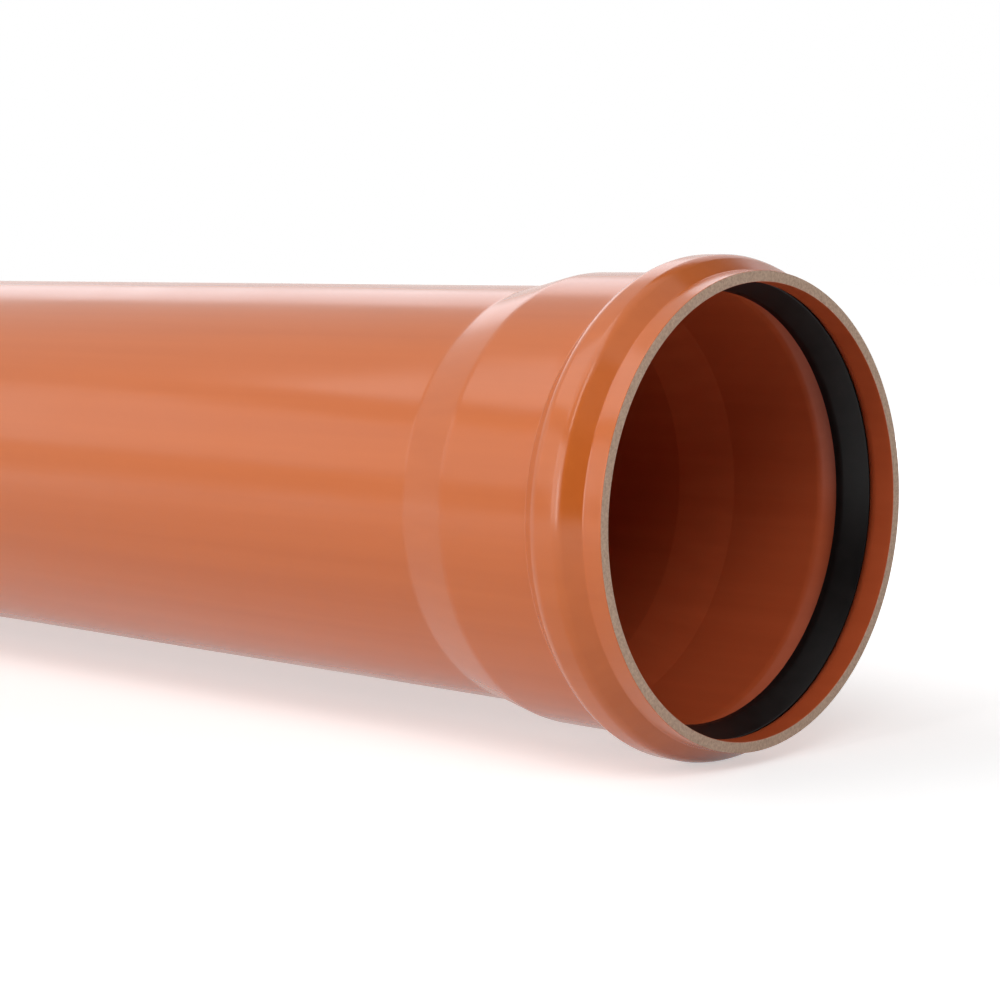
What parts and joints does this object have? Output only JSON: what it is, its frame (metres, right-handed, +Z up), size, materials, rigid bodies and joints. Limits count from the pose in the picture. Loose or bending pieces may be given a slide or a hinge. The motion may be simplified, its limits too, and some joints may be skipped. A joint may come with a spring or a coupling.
{
  "type": "socketed pvc sewer pipe",
  "caption": "Orange-brown plastic sewer pipe with a push-fit socket at one end, a rubber lip seal in its bead and a bevelled plain end.",
  "frame": {"origin": "on the floor, directly below the pipe's axis at the middle of its overall length; the axis is 0.0918 m above it, which is the radius of the socket's bead, the widest place", "axes": "+X along the pipe, out of the socket's mouth; +Z up; +Y completes the right-handed set. The plain end faces -X"},
  "size_m": [1.076, 0.1836, 0.1836],
  "materials": {
    "pipe": "smooth glossy orange-brown skin inside and out; matt grey-beige core on the cut faces at both ends",
    "seal_ring": "smooth satin black"
  },
  "bodies": {
    "root": {"pipe": "pipe", "seal_ring": "seal_ring"}
  },
  "joints": []
}
